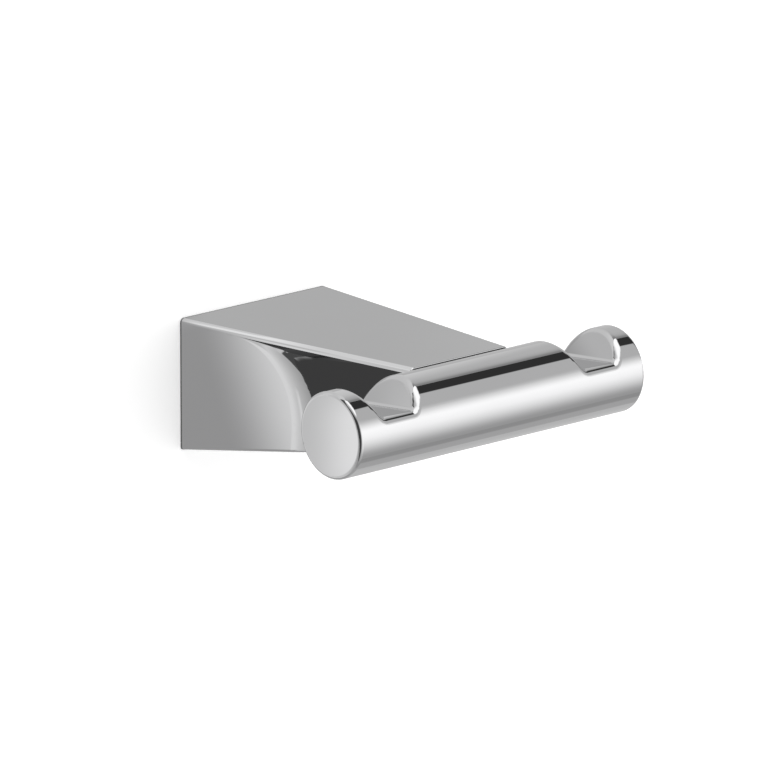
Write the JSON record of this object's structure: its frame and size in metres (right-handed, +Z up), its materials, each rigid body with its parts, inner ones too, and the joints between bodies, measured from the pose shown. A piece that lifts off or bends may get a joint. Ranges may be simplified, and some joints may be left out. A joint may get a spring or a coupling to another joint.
{
  "type": "double robe hook",
  "caption": "Wall-mounted chrome robe hook: a tapering flat-topped arm holds a round bar with a notch across the top near each end.",
  "frame": {"origin": "centre of the mount's wall face, in the plane of the wall", "axes": "+X along the hook bar, +Y into the wall, +Z up; the bar stands out towards -Y"},
  "size_m": [0.0964, 0.0915, 0.0347],
  "materials": {
    "mount_chrome": "polished and chrome plated casting",
    "bar_chrome": "polished and chrome plated bar",
    "screw_steel": "plain stainless steel",
    "bracket_metal": "dull zinc"
  },
  "bodies": {
    "root": {"mount_body": "mount_chrome", "hook_bar": "bar_chrome", "bar_screw": "screw_steel", "lock_washer": "screw_steel", "wall_bracket": "bracket_metal", "set_screw": "screw_steel"}
  },
  "joints": []
}
